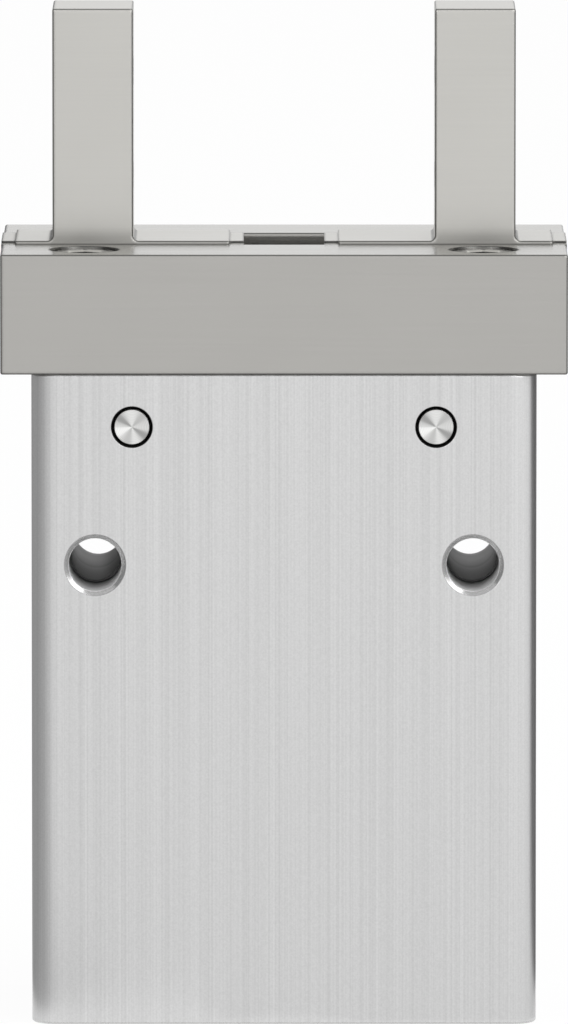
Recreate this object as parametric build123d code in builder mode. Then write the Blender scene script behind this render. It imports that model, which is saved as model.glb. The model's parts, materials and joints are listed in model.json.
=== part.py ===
from build123d import *
import os
from math import atan2, cos, hypot, radians, sin

# Parallel gripper. Two jaws slide apart and together in a T-slot guide block. A piston in the body
# pulls a notched rod head down, the head turns two bell cranks, and their upper arms carry the jaws.
# Millimetres. X is the jaws' travel, -Y is the front, Z is up. The origin is at the centre of the
# body's bottom face. Everything stands as it rests: jaws open, piston at the top of its stroke.

# Fits and small gaps
slide_gap = 0.04  # jaw in its T-slot, on each side
running_gap = 0.02  # bush on pin and rod in bush, radial
seal_gap = 0.03  # seal lip to its wall, radial
seat_gap = 0.01  # pressed, screwed or seated pieces, drawn just free of each other
play = 0.05  # lever tips in their slots, on each side
flank_gap = 0.1  # levers and rod head to the walls beside them
stop_gap = 0.08  # piston to bumper at each end of the stroke

# Body
body_width = 42.8
body_depth = 27.0
body_height = 55.45
body_corner_radius = 2.2
edge_break = 0.15

# Guide block and its T-slot
block_height = 10.2
block_edge_radius = 0.2
slot_width = 10.3  # between the lips
slot_shift = 0.65  # slot centre behind the body's centre
slot_floor = 2.8  # under the T-slot
lip_thickness = 3.0
lip_reach = 0.85  # lip over the jaw's flange

# Jaws
jaw_stroke = 3.0  # each jaw
jaw_length = 20.62
jaw_end_proud = 0.05  # past the block's end when open
closed_gap = 0.86  # between the closed jaws
pad_inset = 1.18  # raised pad from each end of the jaw
pad_rise = 0.31  # pad above the guide block
ledge_rise = 0.17  # rail ends above the guide block
ledge_setback = 1.45  # rail ends behind the slot's lips
flush_drop = 0.02  # rail edges below the guide block's top
finger_width = 6.85
finger_depth = 9.0
finger_height = 20.1  # above the guide block
finger_offset = 4.37  # finger's outer face from the jaw's outer end
root_fillet = 0.47
jaw_edge_radius = 0.2
pad_edge_radius = 0.1
finger_hole_radius = 1.25  # M3 tapped
finger_hole_height = 5.5  # lower hole above the guide block
finger_hole_spacing = 9.0

# Levers and their pins
pivot_inset = 8.53  # from the body's side
pivot_drop = 4.45  # below the body's top
pin_radius = 1.5
pin_sink = 0.05  # pin end below the body's face
pin_chamfer = 0.05
pin_relief = 0.25  # ring cut around each pin end, radial
pin_relief_depth = 1.2
lever_thickness = 5.0
lever_hub_radius = 3.3
lever_bush_wall = 0.5
jaw_tip_radius = 1.5
rod_tip_radius = 1.3
tip_lift = 2.9  # lever tip above the jaw's underside
arm_root_width = 4.0
arm_neck_width = 1.9
arm_neck_length = 3.2
tip_pocket_width = 4.8  # flared mouth under the jaw's slot
tip_pocket_height = 1.4
tip_headroom = 0.3

# Piston rod and its driving head
rod_radius = 4.0
head_core_width = 5.6  # between the two notches
tip_end_gap = 0.5  # lever tip to the core between the notches
head_top_flange = 1.3
head_bottom_flange = 2.0
rod_spigot_radius = 2.5
rod_spigot_length = 4.0

# Chamber and dividing wall
chamber_gap_below = 1.95  # lever hub above the chamber floor
chamber_gap_end = 0.8
rod_pocket_gap = 0.5
bush_land = 0.8
bush_wall = 1.0
bush_length = 7.7
rod_seal_height = 3.0
rod_seal_width = 2.5

# Bore, cap and piston
bore_radius = 10.0
recess_depth = 4.6  # centring recess below the retaining ring
ring_thickness = 1.0
ring_groove_gap = 0.1
ring_groove_depth = 0.5
ring_width = 1.6
ring_opening = 70.0  # degrees
ring_lug_radius = 1.1
ring_lug_shift = 0.28  # lug centre outside the ring's inner edge
ring_eye_radius = 0.5
cap_thickness = 7.3
cap_gap = 0.02
o_ring_radius = 0.8
o_ring_from_ring = 3.5
bumper_thickness = 1.5
bumper_width = 4.6
bumper_edge_gap = 1.0  # bumper to bore wall, keeps the air way open
piston_side_gap = 0.15
piston_seal_width = 2.0
piston_seal_depth = 2.0
seal_lip = 0.3
piston_end_land = 1.2
piston_mid_land = 0.75
wear_ring_height = 1.8
wear_ring_depth = 1.0
magnet_height = 2.6
magnet_width = 2.4

# Screws, dowels and mounting holes
screw_radius = 1.5  # M3
screw_head_radius = 2.75
screw_head_height = 3.0
screw_hex = 2.5  # across flats
screw_hex_depth = 1.5
screw_sink = 0.2  # head below the guide block's top
screw_grip = 12.0
screw_head_gap = 0.2
screw_hole_gap = 0.2
screw_hole_depth_below = 1.5
screw_wall = 0.6  # counterbore to the T-slot
screw_inset = 4.5  # from the body's side
rod_thread_length = 7.77  # piston screw in the rod
dowel_radius = 1.0
dowel_length = 6.0
dowel_in_block = 2.4
dowel_x = 8.0
mount_hole_radius = 2.1  # M5 tapped
mount_hole_chamfer = 0.35
mount_mouth_radius = 2.25  # wider first stretch at the front
mount_mouth_depth = 7.1
mount_hole_inset = 5.4  # from the body's side
mount_hole_drop = 16.2  # below the body's top
base_hole_radius = 1.65  # M4 tapped
base_hole_depth = 8.0
base_hole_inset_x = 4.9
base_hole_inset_y = 5.0
port_radius = 2.1  # M5 tapped
port_depth = 6.0
port_chamfer = 0.4
duct_radius = 0.6
duct_from_end = 0.9  # duct centre from the end of the piston chamber
duct_offset = 1.2  # port centre from its duct
sensor_slot_radius = 1.4
sensor_slot_center_depth = 1.45
sensor_slot_mouth = 2.0
sensor_slot_spacing = 11.0

# Heights
pivot_z = body_height - pivot_drop
block_top = body_height + block_height
slot_floor_z = body_height + slot_floor
lip_z = block_top - lip_thickness
screw_seat_z = block_top - screw_sink - screw_head_height
chamber_floor = pivot_z - lever_hub_radius - chamber_gap_below
bush_top = chamber_floor - bush_land
bush_bottom = bush_top - bush_length
bore_top = bush_bottom - rod_seal_height
ring_bottom = recess_depth
cap_bottom = ring_bottom + ring_thickness + ring_groove_gap
cap_top = cap_bottom + cap_thickness

# Widths and positions
jaw_inner = closed_gap / 2 + jaw_stroke
jaw_outer = jaw_inner + jaw_length
block_width = 2 * (jaw_outer - jaw_end_proud)
front_y = -body_depth / 2
slot_half = slot_width / 2
cavity_half = slot_half + lip_reach
pivot_x = body_width / 2 - pivot_inset
counterbore_radius = screw_head_radius + screw_head_gap
screw_x = body_width / 2 - screw_inset
screw_rows = [
    slot_shift - cavity_half - screw_wall - counterbore_radius,
    slot_shift + cavity_half + screw_wall + counterbore_radius,
]
mount_hole_x = body_width / 2 - mount_hole_inset
mount_hole_z = body_height - mount_hole_drop
relief_radius = pin_radius + pin_relief
chamber_half_width = lever_thickness / 2 + flank_gap
chamber_half_length = pivot_x + lever_hub_radius + chamber_gap_end
rod_pocket_radius = rod_radius + rod_pocket_gap

# Lever geometry: the upper arm leans outward by half the swing, the inner arm rises by the same angle
arm_height = pivot_drop + slot_floor + slide_gap + tip_lift
upper_arm = hypot(arm_height, jaw_stroke / 2)
half_swing = atan2(jaw_stroke / 2, arm_height)
drive_x = head_core_width / 2 + tip_end_gap + rod_tip_radius
head_half = drive_x + rod_tip_radius
inner_arm = pivot_x - drive_x
piston_stroke = 2 * inner_arm * sin(half_swing)
notch_z = pivot_z + inner_arm * sin(half_swing)
notch_half_height = rod_tip_radius + play
head_bottom = notch_z - notch_half_height - head_bottom_flange
head_top = notch_z + notch_half_height + head_top_flange
tip_x = pivot_x + jaw_stroke / 2

# Piston heights
piston_top = bore_top - bumper_thickness - stop_gap
piston_bottom = cap_top + bumper_thickness + stop_gap + piston_stroke
piston_radius = bore_radius - piston_side_gap
bumper_radius = bore_radius - bumper_edge_gap
low_seal_z = piston_bottom + piston_end_land
wear_ring_z = low_seal_z + piston_seal_width + piston_mid_land
magnet_z = wear_ring_z + wear_ring_height + piston_mid_land
split_z = magnet_z + magnet_height
high_seal_z = piston_top - piston_end_land - piston_seal_width
magnet_inner_radius = piston_radius - magnet_width
screw_head_seat = piston_bottom + screw_sink + screw_head_height
spigot_end = piston_top - rod_spigot_length
rod_screw_end = spigot_end + rod_thread_length

os.makedirs("parts", exist_ok=True)


def write_piece(piece, name):
    """Label a finished piece and write its STEP file."""
    piece.part.label = name
    export_step(piece.part, f"parts/{name}.step")


def turned_piece(outline):
    """A piece turned about the Z axis from its (radius, height) outline."""
    with BuildPart() as piece:
        with BuildSketch(Plane.XZ):
            with BuildLine():
                Polyline(*outline, close=True)
            make_face()
        revolve(axis=Axis.Z)
    return piece


def ring_outline(inner_radius, outer_radius, low, high):
    """Rectangular section of a plain ring."""
    return [(inner_radius, low), (outer_radius, low), (outer_radius, high), (inner_radius, high)]


def round_cut(radius, low, high, center=(0, 0)):
    """Vertical round hole, cut in the part under way."""
    with Locations((*center, low)):
        Cylinder(
            radius,
            high - low,
            align=(Align.CENTER, Align.CENTER, Align.MIN),
            mode=Mode.SUBTRACT,
        )


def mirrored_piece(piece):
    """The same piece on the left side."""
    with BuildPart() as twin:
        mirror(piece.part, about=Plane.YZ)
    return twin


# Body housing: a drawn block with the lever chamber on top and the bore below
with BuildPart() as body_housing:
    with BuildSketch():
        RectangleRounded(body_width, body_depth, body_corner_radius)
    extrude(amount=body_height)
    outer_edges = body_housing.edges().group_by(Axis.Z)
    chamfer(outer_edges[0] + outer_edges[-1], edge_break)

    # Lever chamber, with a round pocket that lets the rod pass
    with BuildSketch(Plane.XY.offset(chamber_floor)):
        Rectangle(2 * chamber_half_length, 2 * chamber_half_width)
        Circle(rod_pocket_radius)
    extrude(amount=body_height - chamber_floor, mode=Mode.SUBTRACT)

    # Rod passage: land, bush seat and seal pocket, then the bore, ring groove and recess
    round_cut(rod_pocket_radius, bush_top, chamber_floor)
    round_cut(rod_radius + bush_wall + seat_gap, bush_bottom, bush_top)
    round_cut(rod_radius + rod_seal_width, bore_top, bush_bottom)
    round_cut(bore_radius, 0, bore_top)
    round_cut(bore_radius + ring_groove_depth, ring_bottom - ring_groove_gap, cap_bottom)

    # Pivot pin holes and the rings cut around the pin ends
    with BuildSketch(Plane.XZ.offset(-front_y)):
        with Locations((-pivot_x, pivot_z), (pivot_x, pivot_z)):
            Circle(pin_radius + seat_gap)
    extrude(amount=-body_depth, mode=Mode.SUBTRACT)
    for face_y, inward in ((front_y, -1), (-front_y, 1)):
        with BuildSketch(Plane.XZ.offset(-face_y)):
            with Locations((-pivot_x, pivot_z), (pivot_x, pivot_z)):
                Circle(relief_radius)
        extrude(amount=inward * pin_relief_depth, mode=Mode.SUBTRACT)

    # Mounting holes right through, wider at the front and chamfered at both faces
    for radius, depth in ((mount_hole_radius, body_depth), (mount_mouth_radius, mount_mouth_depth)):
        with BuildSketch(Plane.XZ.offset(-front_y)):
            with Locations((-mount_hole_x, mount_hole_z), (mount_hole_x, mount_hole_z)):
                Circle(radius)
        extrude(amount=-depth, mode=Mode.SUBTRACT)
    mouths = body_housing.edges().filter_by(GeomType.CIRCLE).filter_by(
        lambda e: abs(e.arc_center.Z - mount_hole_z) < seat_gap
        and abs(abs(e.arc_center.Y) - body_depth / 2) < seat_gap
    )
    chamfer(mouths, mount_hole_chamfer)

    # Holes for the guide block's screws and dowels
    for row_y in screw_rows:
        for side in (-1, 1):
            hole_end = screw_seat_z - screw_grip - screw_hole_depth_below
            round_cut(screw_radius + seat_gap, hole_end, body_height, (side * screw_x, row_y))
    for side, row_y in ((-1, screw_rows[0]), (1, screw_rows[1])):
        dowel_end = body_height - (dowel_length - dowel_in_block)
        round_cut(dowel_radius + seat_gap, dowel_end - flank_gap, body_height, (side * dowel_x, row_y))

    # Tapped holes in the bottom face
    base_x = body_width / 2 - base_hole_inset_x
    base_y = body_depth / 2 - base_hole_inset_y
    for side in (-1, 1):
        for row_y in (-base_y, base_y):
            round_cut(base_hole_radius, 0, base_hole_depth, (side * base_x, row_y))

    # Air ports in the right side, each with a duct to its end of the piston chamber
    for duct_z, shift in ((cap_top + duct_from_end, duct_offset), (bore_top - duct_from_end, -duct_offset)):
        with BuildSketch(Plane.YZ.offset(body_width / 2)):
            with Locations((0, duct_z + shift)):
                Circle(port_radius)
        extrude(amount=-port_depth, mode=Mode.SUBTRACT)
        with BuildSketch(Plane.YZ.offset(body_width / 2)):
            with Locations((0, duct_z)):
                Circle(duct_radius)
        extrude(amount=-(body_width / 2 - bore_radius + port_chamfer), mode=Mode.SUBTRACT)
    port_mouths = body_housing.edges().filter_by(GeomType.CIRCLE).filter_by(
        lambda e: abs(e.radius - port_radius) < seat_gap
        and abs(e.arc_center.X - body_width / 2) < seat_gap
    )
    chamfer(port_mouths, port_chamfer)

    # Sensor slots down the left side: a round groove with a narrower mouth
    with BuildSketch():
        for slot_y in (-sensor_slot_spacing / 2, sensor_slot_spacing / 2):
            with Locations((-body_width / 2 + sensor_slot_center_depth, slot_y)):
                Circle(sensor_slot_radius)
            with Locations((-body_width / 2, slot_y)):
                Rectangle(2 * sensor_slot_center_depth, sensor_slot_mouth)
    extrude(amount=body_height, mode=Mode.SUBTRACT)
write_piece(body_housing, "body_housing")


# Guide block: ground steel, T-slot along X, two windows for the levers
with BuildPart() as guide_block:
    with BuildSketch(Plane.XY.offset(body_height)):
        Rectangle(block_width, body_depth)
    extrude(amount=block_height)
    fillet(guide_block.edges(), block_edge_radius)

    with BuildSketch(Plane.YZ.offset(-block_width / 2)):
        with Locations((slot_shift, slot_floor_z)):
            Rectangle(2 * cavity_half, lip_z - slot_floor_z, align=(Align.CENTER, Align.MIN))
        with Locations((slot_shift, lip_z)):
            Rectangle(slot_width, lip_thickness, align=(Align.CENTER, Align.MIN))
    extrude(amount=block_width, mode=Mode.SUBTRACT)
    lip_edges = guide_block.edges().filter_by(Axis.X).filter_by(
        lambda e: abs(e.center().Z - block_top) < seat_gap
        and abs(abs(e.center().Y - slot_shift) - slot_half) < seat_gap
    )
    fillet(lip_edges, block_edge_radius)

    # Windows that the upper arms pass through
    arm_sweep = (slot_floor + pivot_drop) * sin(half_swing)
    window_width = arm_root_width + 2 * arm_sweep
    with BuildSketch(Plane.XY.offset(body_height)):
        with Locations((-pivot_x, 0), (pivot_x, 0)):
            Rectangle(window_width, 2 * chamber_half_width)
    extrude(amount=slot_floor, mode=Mode.SUBTRACT)

    # Counterbored screw holes and dowel holes
    for row_y in screw_rows:
        for side in (-1, 1):
            round_cut(counterbore_radius, screw_seat_z, block_top, (side * screw_x, row_y))
            round_cut(screw_radius + screw_hole_gap, body_height, screw_seat_z, (side * screw_x, row_y))
    for side, row_y in ((-1, screw_rows[0]), (1, screw_rows[1])):
        dowel_top = body_height + dowel_in_block + flank_gap
        round_cut(dowel_radius + seat_gap, body_height, dowel_top, (side * dowel_x, row_y))
write_piece(guide_block, "guide_block")


# Guide screws: four M3 socket heads in the counterbores
with BuildPart() as guide_screws:
    screw_spots = [(side * screw_x, row_y) for side in (-1, 1) for row_y in screw_rows]
    with BuildSketch(Plane.XY.offset(screw_seat_z)):
        with Locations(*screw_spots):
            Circle(screw_head_radius)
    extrude(amount=screw_head_height)
    top_rims = guide_screws.edges().filter_by(GeomType.CIRCLE).group_by(Axis.Z)[-1]
    fillet(top_rims, block_edge_radius)
    with BuildSketch(Plane.XY.offset(screw_seat_z + screw_head_height)):
        with Locations(*screw_spots):
            RegularPolygon(screw_hex / 2, 6, major_radius=False)
    extrude(amount=-screw_hex_depth, mode=Mode.SUBTRACT)
    with BuildSketch(Plane.XY.offset(screw_seat_z)):
        with Locations(*screw_spots):
            Circle(screw_radius)
    extrude(amount=-screw_grip)
write_piece(guide_screws, "guide_screws")


# Guide dowels: one in front on the left, one behind on the right
with BuildPart() as guide_dowels:
    with BuildSketch(Plane.XY.offset(body_height + dowel_in_block - dowel_length)):
        with Locations((-dowel_x, screw_rows[0]), (dowel_x, screw_rows[1])):
            Circle(dowel_radius)
    extrude(amount=dowel_length)
    chamfer(guide_dowels.edges().filter_by(GeomType.CIRCLE), edge_break)
write_piece(guide_dowels, "guide_dowels")


# Pivot pins, through the whole depth of the body
for side, name in ((-1, "left_pivot_pin"), (1, "right_pivot_pin")):
    with BuildPart() as pivot_pin:
        with BuildSketch(Plane.XZ.offset(-front_y - pin_sink)):
            with Locations((side * pivot_x, pivot_z)):
                Circle(pin_radius)
        extrude(amount=-(body_depth - 2 * pin_sink))
        chamfer(pivot_pin.edges().filter_by(GeomType.CIRCLE), pin_chamfer)
    write_piece(pivot_pin, name)


# Levers: bell cranks on the pins, drawn leaning as they rest
lever_plane = Plane(
    origin=(pivot_x, lever_thickness / 2, pivot_z),
    x_dir=(cos(half_swing), 0, -sin(half_swing)),
    z_dir=(0, -1, 0),
)
bush_outer = pin_radius + running_gap + lever_bush_wall
with BuildPart() as right_lever:
    with BuildSketch(lever_plane):
        Circle(lever_hub_radius)
        for length, tip_radius, turn in (
            (upper_arm, jaw_tip_radius, 0),
            (inner_arm, rod_tip_radius, 90),
        ):
            neck_start = length - arm_neck_length
            with BuildLine(Plane.XY.rotated((0, 0, turn))):
                Polyline(
                    (-arm_root_width / 2, 0),
                    (arm_root_width / 2, 0),
                    (arm_neck_width / 2, neck_start),
                    (arm_neck_width / 2, length),
                    (-arm_neck_width / 2, length),
                    (-arm_neck_width / 2, neck_start),
                    close=True,
                )
            make_face()
        with Locations((0, upper_arm)):
            Circle(jaw_tip_radius)
        with Locations((-inner_arm, 0)):
            Circle(rod_tip_radius)
        Circle(bush_outer + seat_gap, mode=Mode.SUBTRACT)
    extrude(amount=lever_thickness)
write_piece(right_lever, "right_lever")
write_piece(mirrored_piece(right_lever), "left_lever")


# Lever bushes, pressed into the hubs
with BuildPart() as right_lever_bush:
    with BuildSketch(lever_plane):
        Circle(bush_outer)
        Circle(pin_radius + running_gap, mode=Mode.SUBTRACT)
    extrude(amount=lever_thickness)
write_piece(right_lever_bush, "right_lever_bush")
write_piece(mirrored_piece(right_lever_bush), "left_lever_bush")


# Jaws: flange under the lips, neck between them, raised pad and finger
jaw_mid = (jaw_inner + jaw_outer) / 2
neck_half = slot_half - slide_gap
jaw_bottom = slot_floor_z + slide_gap
jaw_front = slot_shift - neck_half
finger_inner = jaw_outer - finger_offset - finger_width
finger_mid = finger_inner + finger_width / 2
pad_top = block_top + pad_rise
finger_top = block_top + finger_height
with BuildPart() as right_jaw:
    with BuildSketch(Plane.XY.offset(jaw_bottom)):
        with Locations((jaw_mid, slot_shift)):
            Rectangle(jaw_length, 2 * (cavity_half - slide_gap))
    extrude(amount=lip_z - slide_gap - jaw_bottom)
    with BuildSketch(Plane.XY.offset(jaw_bottom)):
        with Locations((jaw_mid, slot_shift)):
            Rectangle(jaw_length, 2 * neck_half)
    extrude(amount=block_top - flush_drop - jaw_bottom)
    with BuildSketch(Plane.XY.offset(jaw_bottom)):
        with Locations((jaw_mid, slot_shift)):
            Rectangle(jaw_length, 2 * (slot_half - ledge_setback))
    extrude(amount=block_top + ledge_rise - jaw_bottom)
    with BuildSketch(Plane.XY.offset(jaw_bottom)):
        with Locations((jaw_mid, slot_shift)):
            Rectangle(jaw_length - 2 * pad_inset, 2 * neck_half)
    extrude(amount=pad_top - jaw_bottom)
    with BuildSketch(Plane.XY.offset(jaw_bottom)):
        with Locations((finger_mid, jaw_front)):
            Rectangle(finger_width, finger_depth, align=(Align.CENTER, Align.MIN))
    extrude(amount=finger_top - jaw_bottom)

    # Rounded back corners and roots of the finger, then its outline seen from the front
    finger_back = jaw_front + finger_depth
    back_corners = right_jaw.edges().filter_by(Axis.Z).filter_by(
        lambda e: abs(e.center().Y - finger_back) < seat_gap and e.center().Z > pad_top
    )
    fillet(back_corners, jaw_edge_radius)
    roots = right_jaw.edges().filter_by(
        lambda e: abs(e.center().Z - pad_top) < seat_gap
        and e.center().Y > jaw_front + seat_gap
        and finger_inner - seat_gap < e.center().X < finger_inner + finger_width + seat_gap
        and e.center().Y < finger_back + seat_gap
    )
    fillet(roots, root_fillet)
    rims = right_jaw.edges().filter_by(
        lambda e: e.center().Z > finger_top - seat_gap
        or (abs(abs(e.center().Y - slot_shift) - neck_half) < seat_gap and e.center().Z > block_top + seat_gap)
    )
    fillet(rims, jaw_edge_radius)
    pad_ends = right_jaw.edges().filter_by(Axis.Y).filter_by(
        lambda e: abs(e.center().Z - pad_top) < seat_gap
        and abs(abs(e.center().X - jaw_mid) - (jaw_length / 2 - pad_inset)) < jaw_edge_radius
    )
    fillet(pad_ends, pad_edge_radius)

    # Slot and flared mouth for the lever's tip
    slot_depth = 2 * (lever_thickness / 2 + flank_gap)
    with BuildSketch(Plane.XY.offset(jaw_bottom)):
        with Locations((tip_x, 0)):
            Rectangle(2 * (jaw_tip_radius + play), slot_depth)
    tip_top = pivot_z + upper_arm + jaw_tip_radius
    extrude(amount=tip_top + tip_headroom - jaw_bottom, mode=Mode.SUBTRACT)
    with BuildSketch(Plane.XY.offset(jaw_bottom)):
        with Locations((tip_x, 0)):
            Rectangle(tip_pocket_width, slot_depth)
    extrude(amount=tip_pocket_height, mode=Mode.SUBTRACT)

    # Tapped holes for finger tooling, right through the finger along X
    with BuildSketch(Plane.YZ.offset(finger_inner)):
        for step in (0, 1):
            hole_z = block_top + finger_hole_height + step * finger_hole_spacing
            with Locations((jaw_front + finger_depth / 2, hole_z)):
                Circle(finger_hole_radius)
    extrude(amount=finger_width, mode=Mode.SUBTRACT)
write_piece(right_jaw, "right_jaw")
write_piece(mirrored_piece(right_jaw), "left_jaw")


# Piston rod: spigot in the piston, round shank in the bush, flat head with a notch on each side
with BuildPart() as piston_rod:
    with BuildSketch(Plane.XY.offset(spigot_end)):
        Circle(rod_spigot_radius)
    extrude(amount=rod_spigot_length)
    with BuildSketch(Plane.XY.offset(piston_top)):
        Circle(rod_radius)
    extrude(amount=head_bottom - piston_top)
    with BuildSketch(Plane.XZ.offset(lever_thickness / 2)):
        with Locations((0, head_bottom)):
            Rectangle(2 * head_half, head_top - head_bottom, align=(Align.CENTER, Align.MIN))
        for side in (-1, 1):
            with Locations((side * head_half, notch_z)):
                Rectangle(2 * head_half - head_core_width, 2 * notch_half_height, mode=Mode.SUBTRACT)
    extrude(amount=-lever_thickness)
    round_cut(screw_radius + seat_gap, spigot_end, rod_screw_end + screw_hole_depth_below)
write_piece(piston_rod, "piston_rod")


# Piston: two halves clamp the ring magnet, and one screw holds both on the rod
seal_floor = piston_radius - piston_seal_depth
wear_floor = piston_radius - wear_ring_depth
screw_hole_radius = screw_radius + screw_hole_gap
piston_lower_half = turned_piece([
    (counterbore_radius, piston_bottom),
    (piston_radius, piston_bottom),
    (piston_radius, low_seal_z),
    (seal_floor, low_seal_z),
    (seal_floor, low_seal_z + piston_seal_width),
    (piston_radius, low_seal_z + piston_seal_width),
    (piston_radius, wear_ring_z),
    (wear_floor, wear_ring_z),
    (wear_floor, wear_ring_z + wear_ring_height),
    (piston_radius, wear_ring_z + wear_ring_height),
    (piston_radius, magnet_z),
    (magnet_inner_radius, magnet_z),
    (magnet_inner_radius, split_z),
    (screw_hole_radius, split_z),
    (screw_hole_radius, screw_head_seat),
    (counterbore_radius, screw_head_seat),
])
write_piece(piston_lower_half, "piston_lower_half")

piston_upper_half = turned_piece([
    (screw_hole_radius, split_z),
    (piston_radius, split_z),
    (piston_radius, high_seal_z),
    (seal_floor, high_seal_z),
    (seal_floor, high_seal_z + piston_seal_width),
    (piston_radius, high_seal_z + piston_seal_width),
    (piston_radius, piston_top),
    (rod_spigot_radius + seat_gap, piston_top),
    (rod_spigot_radius + seat_gap, spigot_end),
    (screw_hole_radius, spigot_end),
])
write_piece(piston_upper_half, "piston_upper_half")

magnet_outer_radius = piston_radius - piston_side_gap
piston_magnet = turned_piece(
    ring_outline(magnet_inner_radius + seat_gap, magnet_outer_radius, magnet_z, split_z)
)
write_piece(piston_magnet, "piston_magnet")

wear_ring_outer = bore_radius - running_gap
piston_wear_ring = turned_piece(ring_outline(
    wear_floor + seat_gap,
    wear_ring_outer,
    wear_ring_z + seat_gap,
    wear_ring_z + wear_ring_height - seat_gap,
))
write_piece(piston_wear_ring, "piston_wear_ring")

with BuildPart() as piston_screw:
    with BuildSketch(Plane.XY.offset(screw_head_seat - screw_head_height)):
        Circle(screw_head_radius)
        RegularPolygon(screw_hex / 2, 6, major_radius=False, mode=Mode.SUBTRACT)
    extrude(amount=screw_hex_depth)
    with BuildSketch(Plane.XY.offset(screw_head_seat - screw_head_height + screw_hex_depth)):
        Circle(screw_head_radius)
    extrude(amount=screw_head_height - screw_hex_depth)
    with BuildSketch(Plane.XY.offset(screw_head_seat)):
        Circle(screw_radius)
    extrude(amount=rod_screw_end - screw_head_seat)
write_piece(piston_screw, "piston_screw")


# Seals, bush and bumpers
def seal_outline(inner_radius, outer_radius, low, high, lip_on_rod=False):
    """Section of a lip seal, with the edges of its sliding side taken off."""
    if lip_on_rod:
        return [
            (inner_radius + seal_lip, low),
            (outer_radius, low),
            (outer_radius, high),
            (inner_radius + seal_lip, high),
            (inner_radius, high - seal_lip),
            (inner_radius, low + seal_lip),
        ]
    return [
        (inner_radius, low),
        (outer_radius - seal_lip, low),
        (outer_radius, low + seal_lip),
        (outer_radius, high - seal_lip),
        (outer_radius - seal_lip, high),
        (inner_radius, high),
    ]


with BuildPart() as piston_seals:
    for seal_z in (low_seal_z, high_seal_z):
        with BuildSketch(Plane.XZ):
            with BuildLine():
                Polyline(
                    *seal_outline(
                        seal_floor + seat_gap,
                        bore_radius - seal_gap,
                        seal_z + seat_gap,
                        seal_z + piston_seal_width - seat_gap,
                    ),
                    close=True,
                )
            make_face()
    revolve(axis=Axis.Z)
write_piece(piston_seals, "piston_seals")

rod_seal = turned_piece(seal_outline(
    rod_radius + seal_gap,
    rod_radius + rod_seal_width - seat_gap,
    bore_top + seat_gap,
    bush_bottom - seat_gap,
    lip_on_rod=True,
))
write_piece(rod_seal, "rod_seal")

rod_bush = turned_piece(
    ring_outline(rod_radius + running_gap, rod_radius + bush_wall, bush_bottom, bush_top - seat_gap)
)
write_piece(rod_bush, "rod_bush")

upper_bumper = turned_piece(
    ring_outline(bumper_radius - bumper_width, bumper_radius, bore_top - bumper_thickness, bore_top)
)
write_piece(upper_bumper, "upper_bumper")

lower_bumper = turned_piece(
    ring_outline(bumper_radius - bumper_width, bumper_radius, cap_top, cap_top + bumper_thickness)
)
write_piece(lower_bumper, "lower_bumper")


# End cap with its O-ring groove, the O-ring and the retaining ring
cap_radius = bore_radius - cap_gap
o_ring_z = cap_bottom + o_ring_from_ring
o_ring_center = bore_radius - seal_gap - o_ring_radius
groove_half = o_ring_radius + flank_gap
groove_floor = o_ring_center - o_ring_radius - seat_gap
end_cap = turned_piece([
    (0, cap_bottom),
    (cap_radius - edge_break, cap_bottom),
    (cap_radius, cap_bottom + edge_break),
    (cap_radius, o_ring_z - groove_half),
    (groove_floor, o_ring_z - groove_half),
    (groove_floor, o_ring_z + groove_half),
    (cap_radius, o_ring_z + groove_half),
    (cap_radius, cap_top),
    (0, cap_top),
])
write_piece(end_cap, "end_cap")

with BuildPart() as end_cap_seal:
    with BuildSketch(Plane.XZ):
        with Locations((o_ring_center, o_ring_z)):
            Circle(o_ring_radius)
    revolve(axis=Axis.Z)
write_piece(end_cap_seal, "end_cap_seal")

ring_outer = bore_radius + ring_groove_depth - seat_gap
ring_inner = ring_outer - ring_width
lug_center = ring_inner + ring_lug_shift
half_opening = radians(ring_opening / 2)
with BuildPart() as retaining_ring:
    with BuildSketch(Plane.XY.offset(ring_bottom)):
        Circle(ring_outer)
        Circle(ring_inner, mode=Mode.SUBTRACT)
        with BuildLine():
            mouth = ring_outer / cos(half_opening)
            Polyline(
                (0, 0),
                (-mouth * sin(half_opening), -mouth * cos(half_opening)),
                (mouth * sin(half_opening), -mouth * cos(half_opening)),
                close=True,
            )
        make_face(mode=Mode.SUBTRACT)
        for side in (-1, 1):
            lug_spot = (side * lug_center * sin(half_opening), -lug_center * cos(half_opening))
            with Locations(lug_spot):
                Circle(ring_lug_radius)
                Circle(ring_eye_radius, mode=Mode.SUBTRACT)
    extrude(amount=ring_thickness)
write_piece(retaining_ring, "retaining_ring")
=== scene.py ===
# %% [markdown]
# Parallel gripper
#
# This lesson dresses a small parallel gripper for a product picture. The CAD model already holds
# every solid, in metres, standing at its true place: a drawn aluminium body, a ground steel guide
# block, two steel jaws and the works inside. What is left for Blender is the finish of each metal,
# the screws that deserve more detail than the CAD gives them, and a small light studio.
#
# The first cell loads the frame. Its objects stay where they are, and only their materials change.

# %% Load the frame
import json
from math import cos, pi, radians, sin

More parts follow.
